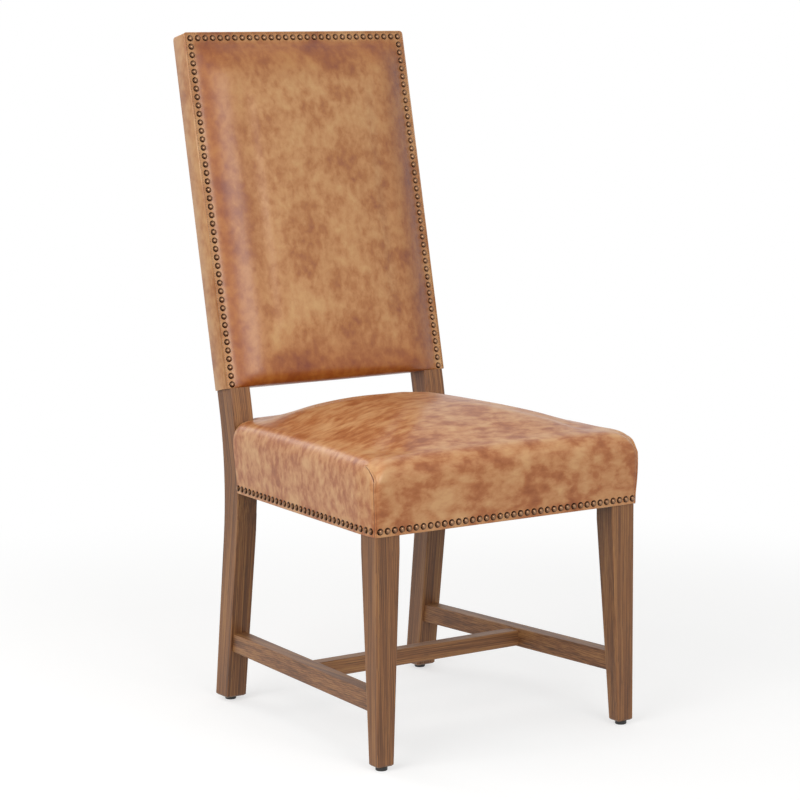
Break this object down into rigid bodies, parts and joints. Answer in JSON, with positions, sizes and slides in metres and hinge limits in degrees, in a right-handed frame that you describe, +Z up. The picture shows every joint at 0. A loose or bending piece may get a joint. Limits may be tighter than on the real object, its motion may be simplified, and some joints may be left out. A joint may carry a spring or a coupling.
{
  "type": "dining chair",
  "caption": "High-backed dining chair with a crowned leather seat, a raked leather back edged with nails, and a wooden frame with stretchers.",
  "frame": {"origin": "on the floor, under the middle of the chair's overall box", "axes": "+Z up, -Y towards the chair's front, +X to the right as seen from the front"},
  "size_m": [0.5248, 0.6646, 1.14],
  "materials": {
    "leather": "aniline-dyed tan hide, soft semi-gloss",
    "wood": "stained hardwood, satin lacquer",
    "brass": "antiqued, darkened in the recesses",
    "steel": "zinc plated",
    "plastic": "moulded",
    "foam": "upholstery foam in a muslin wrap",
    "webbing": "woven",
    "lining": "non-woven"
  },
  "bodies": {
    "root": {"back_bottom_band": "leather", "back_bottom_rail": "wood", "back_foam": "foam", "back_front_leather": "leather", "back_nails_left": "brass", "back_nails_right": "brass", "back_nails_top": "brass", "back_outside_leather": "leather", "back_side_band_left": "leather", "back_side_band_right": "leather", "back_top_band": "leather", "back_top_rail": "wood", "back_webbing": "webbing", "corner_block_front_left": "wood", "corner_block_front_right": "wood", "corner_block_rear_left": "wood", "corner_block_rear_right": "wood", "corner_block_screws": "steel", "cross_stretcher": "wood", "dust_cover": "lining", "front_leg_left": "wood", "front_leg_right": "wood", "glide_front_left": "plastic", "glide_front_right": "plastic", "glide_pins": "steel", "glide_rear_left": "plastic", "glide_rear_right": "plastic", "rear_leg_left": "wood", "rear_leg_right": "wood", "seat_foam": "foam", "seat_leather": "leather", "seat_nails_front": "brass", "seat_nails_left": "brass", "seat_nails_right": "brass", "seat_rail_front": "wood", "seat_rail_left": "wood", "seat_rail_rear": "wood", "seat_rail_right": "wood", "seat_webbing_crossways": "webbing", "seat_webbing_lengthways": "webbing", "side_stretcher_left": "wood", "side_stretcher_right": "wood"}
  },
  "joints": []
}
